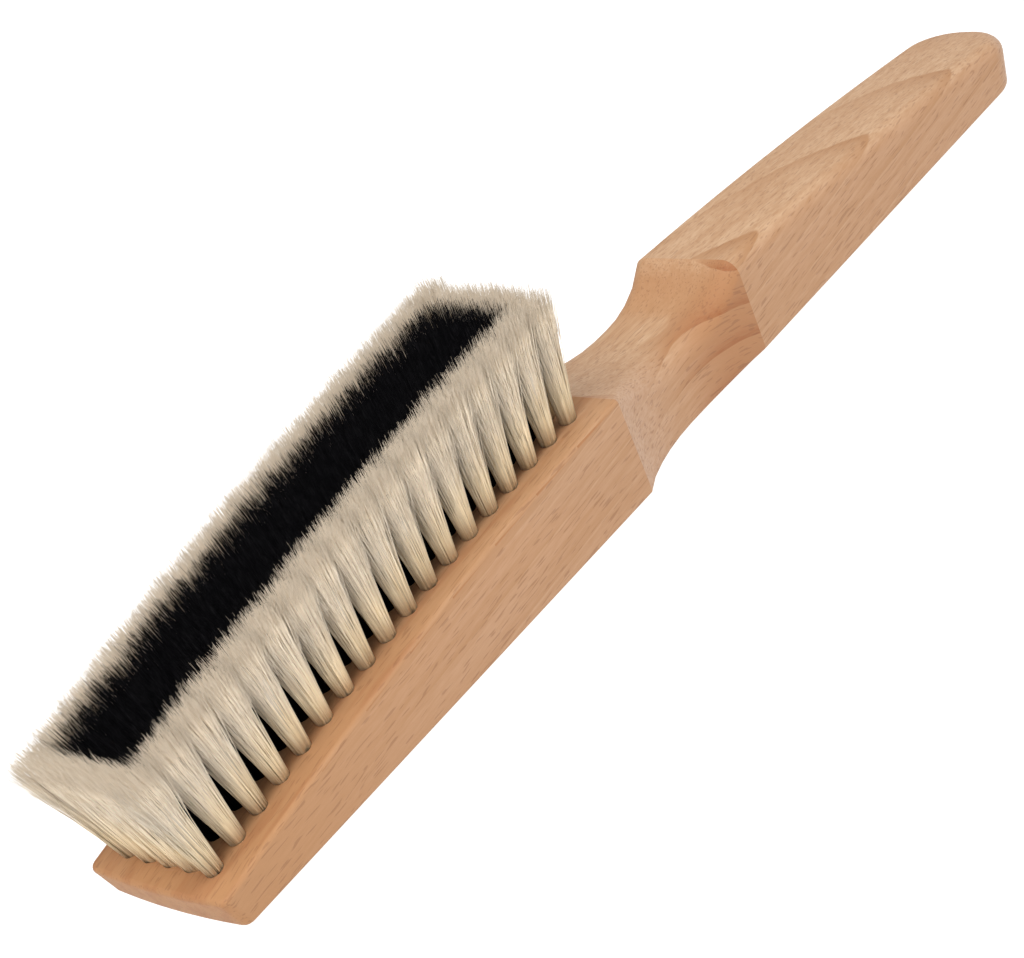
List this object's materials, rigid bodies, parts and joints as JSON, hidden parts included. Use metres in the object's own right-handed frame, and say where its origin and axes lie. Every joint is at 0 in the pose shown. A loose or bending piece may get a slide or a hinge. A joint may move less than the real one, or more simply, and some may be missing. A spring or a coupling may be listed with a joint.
{
  "type": "neck duster brush",
  "caption": "Wooden neck duster brush with a wedge-shaped bristle block, a scooped neck, a tapering handle and two-colour hair tufts.",
  "frame": {"origin": "on the flat back of the brush, on its centre line, midway along the bristle block", "axes": "+X from the nose of the block along the handle to its tip, +Z out of the bristle face, the way the hair stands"},
  "size_m": [0.2532, 0.03, 0.0413],
  "materials": {
    "beech": "sanded, with a thin matt oil",
    "white_hair": "fine ivory hair",
    "black_hair": "fine black hair",
    "anchor_metal": "bright strip"
  },
  "bodies": {
    "root": {"wooden_body": "beech", "white_right_row_tufts": "white_hair", "white_left_row_tufts": "white_hair", "white_nose_row_tufts": "white_hair", "white_heel_row_tufts": "white_hair", "black_right_row_tufts": "black_hair", "black_middle_row_tufts": "black_hair", "black_left_row_tufts": "black_hair", "white_right_row_anchors": "anchor_metal", "white_left_row_anchors": "anchor_metal", "white_nose_row_anchors": "anchor_metal", "white_heel_row_anchors": "anchor_metal", "black_right_row_anchors": "anchor_metal", "black_middle_row_anchors": "anchor_metal", "black_left_row_anchors": "anchor_metal"}
  },
  "joints": []
}
